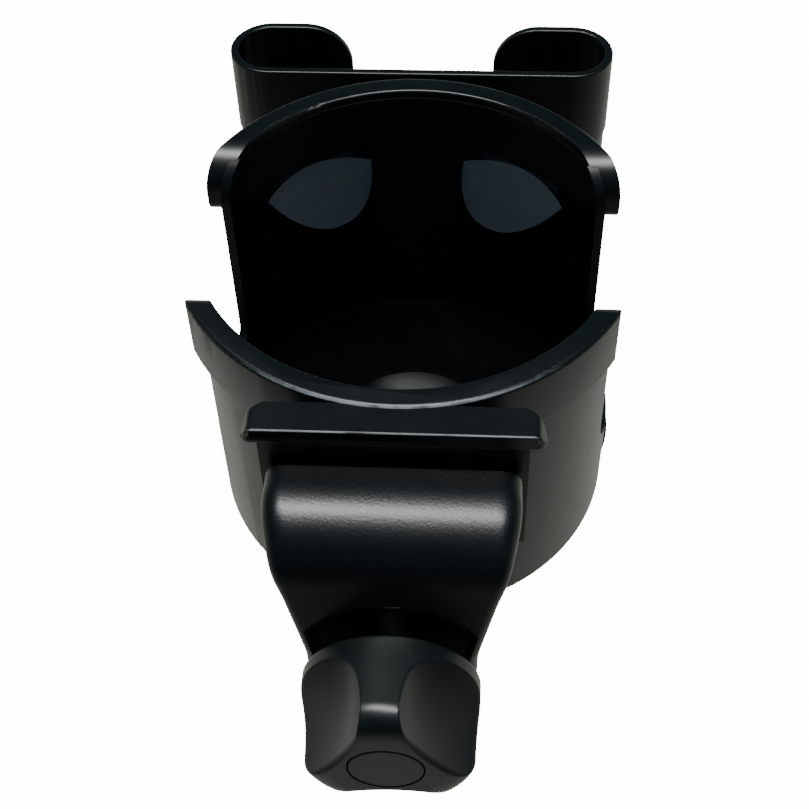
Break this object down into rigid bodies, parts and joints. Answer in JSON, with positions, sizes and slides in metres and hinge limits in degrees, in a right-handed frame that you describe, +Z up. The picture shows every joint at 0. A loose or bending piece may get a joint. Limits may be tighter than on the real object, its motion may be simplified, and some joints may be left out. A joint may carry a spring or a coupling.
{
  "type": "desk clamp cup holder",
  "caption": "Clamp-on cup holder for a desk edge or rail: side-notched cup with soft grip flaps, sliding screw clamp with a lobed knob, and a lift-off phone cradle.",
  "frame": {"origin": "centre of the cup's underside, which it stands on", "axes": "+Z up along the cup's axis; -Y towards the clamp and its knob; +Y towards the phone cradle; +X to the right when seen from the clamp"},
  "size_m": [0.0944, 0.1747, 0.0784],
  "materials": {
    "black_abs": "satin moulded ABS",
    "knob_abs": "fine matte moulded ABS",
    "slate_tpe": "soft matte elastomer",
    "black_rubber": "matte ribbed rubber",
    "zinc_steel": "zinc plated",
    "brass": "turned"
  },
  "bodies": {
    "cup": {"cup_shell": "black_abs", "front_rim_collar": "black_abs", "rear_rim_collar": "black_abs", "front_receiver": "black_abs", "receiver_hood": "black_abs", "receiver_screws": "zinc_steel", "rear_rail": "black_abs", "flap_anchors": "slate_tpe"},
    "clamp": {"clamp_body": "black_abs", "jaw_pad": "black_rubber", "threaded_insert": "brass"},
    "shoe": {"pressure_shoe": "knob_abs", "shoe_pad": "black_rubber", "shoe_clip": "zinc_steel"},
    "screw": {"knob": "knob_abs", "knob_cap": "knob_abs", "clamp_screw": "zinc_steel", "thrust_washer": "zinc_steel"},
    "cradle": {"cradle_upper": "black_abs", "cradle_lower": "black_abs"},
    "flap_rear_left": {"flap_rear_left": "slate_tpe"},
    "flap_rear_right": {"flap_rear_right": "slate_tpe"},
    "flap_front_left": {"flap_front_left": "slate_tpe"},
    "flap_front_right": {"flap_front_right": "slate_tpe"}
  },
  "joints": [
    {"name": "clamp_slide", "type": "slide", "parent": "cup", "child": "clamp", "axis": [0, 0, -1], "range_m": [0, 0.034]},
    {"name": "screw_advance", "type": "slide", "parent": "clamp", "child": "shoe", "axis": [0, -1, 0], "range_m": [0, 0.009]},
    {"name": "knob_turn", "type": "hinge", "parent": "shoe", "child": "screw", "pos_m": [0, -0.083, 0.0305], "axis": [0, -1, 0], "range_deg": [0, 1620]},
    {"name": "cradle_slide", "type": "slide", "parent": "cup", "child": "cradle", "axis": [0, 0, 1], "range_m": [0, 0.06]},
    {"name": "flap_rear_left_hinge", "type": "hinge", "parent": "cup", "child": "flap_rear_left", "pos_m": [-0.02377, 0.03523, 0.062], "axis": [0.829, 0.5592, 0], "range_deg": [0, 30], "stiffness_Nm_per_rad": 0.02},
    {"name": "flap_rear_right_hinge", "type": "hinge", "parent": "cup", "child": "flap_rear_right", "pos_m": [0.02377, 0.03523, 0.062], "axis": [0.829, -0.5592, 0], "range_deg": [0, 30], "stiffness_Nm_per_rad": 0.02},
    {"name": "flap_front_left_hinge", "type": "hinge", "parent": "cup", "child": "flap_front_left", "pos_m": [-0.02377, -0.03523, 0.062], "axis": [-0.829, 0.5592, 0], "range_deg": [0, 30], "stiffness_Nm_per_rad": 0.02},
    {"name": "flap_front_right_hinge", "type": "hinge", "parent": "cup", "child": "flap_front_right", "pos_m": [0.02377, -0.03523, 0.062], "axis": [-0.829, -0.5592, 0], "range_deg": [0, 30], "stiffness_Nm_per_rad": 0.02}
  ],
  "couplings": [
    {"joint": "screw_advance", "follows": "knob_turn", "m_per_rad": 0.00031831}
  ]
}
